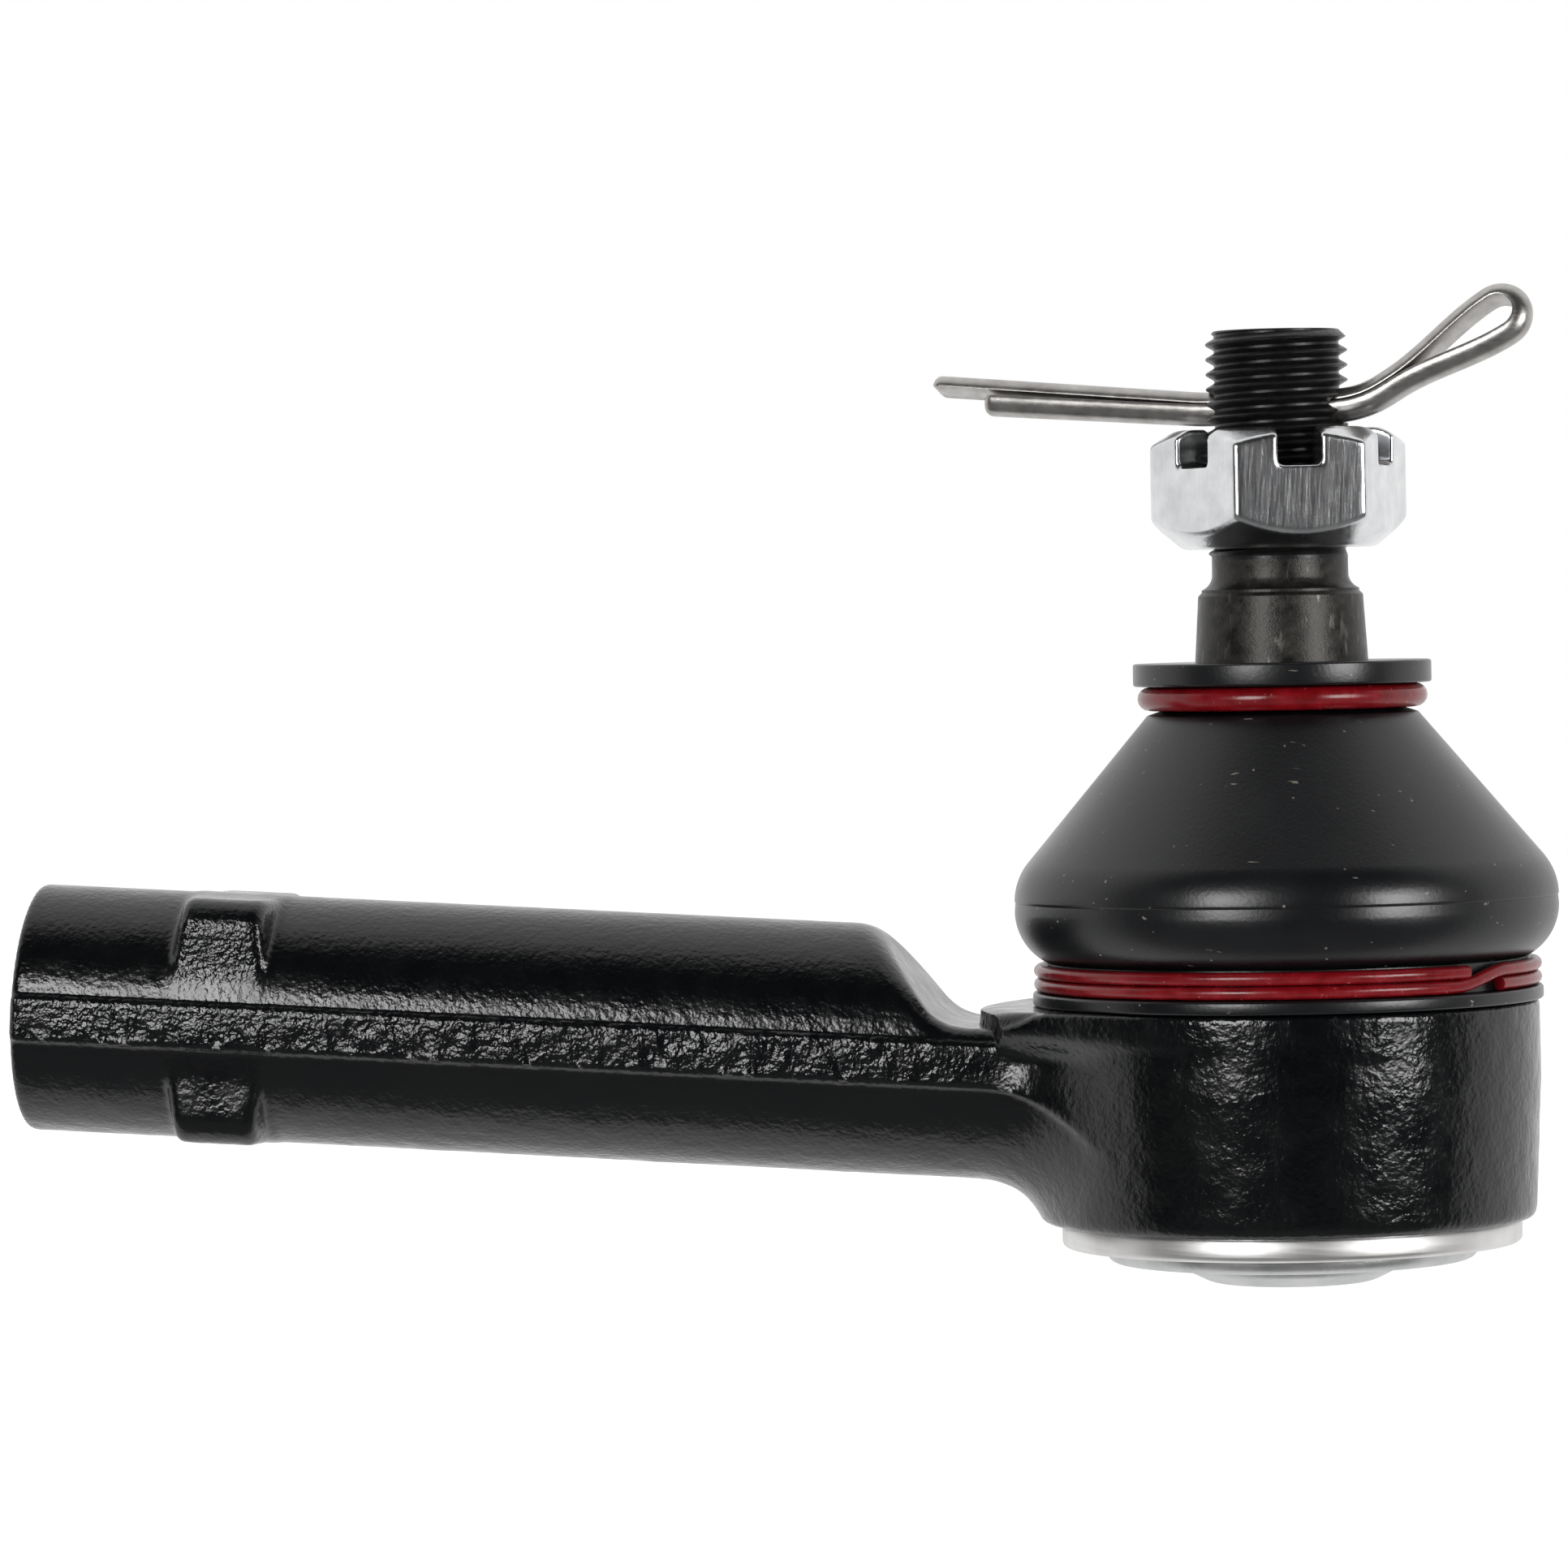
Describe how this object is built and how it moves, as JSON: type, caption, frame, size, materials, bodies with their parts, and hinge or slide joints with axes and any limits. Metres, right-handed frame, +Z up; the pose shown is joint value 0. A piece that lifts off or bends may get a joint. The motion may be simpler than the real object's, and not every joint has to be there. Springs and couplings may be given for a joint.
{
  "type": "outer tie rod end",
  "caption": "Outer tie rod end: forged arm with female rod thread, preloaded ball stud, rubber boot, castle nut and cotter pin.",
  "frame": {"origin": "centre of the arm's end face, on the rod thread's axis", "axes": "+X along the arm towards the ball, +Z up on the stud's side; the stud's axis leans 3.5 degrees from +Z towards -X"},
  "size_m": [0.1296, 0.0456, 0.0856],
  "materials": {
    "painted_forging": "gloss black paint over a rough forging",
    "bearing_plastic": "plain moulded",
    "spring_steel": "oiled",
    "machined_steel": "turned bright",
    "red_wire": "gloss red coating",
    "black_rubber": "smooth moulded rubber",
    "dark_steel": "dark phosphate",
    "zinc_plate": "bright zinc",
    "pin_steel": "bright drawn wire"
  },
  "bodies": {
    "root": {"housing": "painted_forging", "upper_ball_seat": "bearing_plastic", "lower_ball_seat": "bearing_plastic", "preload_spring": "spring_steel", "cover_plate": "machined_steel", "boot_lower_ring": "red_wire"},
    "boot_middle": {"dust_boot": "black_rubber"},
    "boot_top": {"boot_upper_ring": "red_wire"},
    "stud": {"ball_stud": "dark_steel", "castle_nut": "zinc_plate", "cotter_pin": "pin_steel"}
  },
  "joints": [
    {"name": "tilt_along", "type": "hinge", "parent": "root", "child": "boot_middle", "pos_m": [0.1077, 0, 0], "axis": [0, 1, 0], "range_deg": [-18, 18], "deforming": ["dust_boot"]},
    {"name": "tilt_across", "type": "hinge", "parent": "boot_middle", "child": "boot_top", "pos_m": [0.1077, 0, 0], "axis": [0.9981, 0, 0.061], "range_deg": [-18, 18]},
    {"name": "stud_turn", "type": "hinge", "parent": "boot_top", "child": "stud", "pos_m": [0.1077, 0, 0], "axis": [-0.061, 0, 0.9981], "continuous": true}
  ]
}
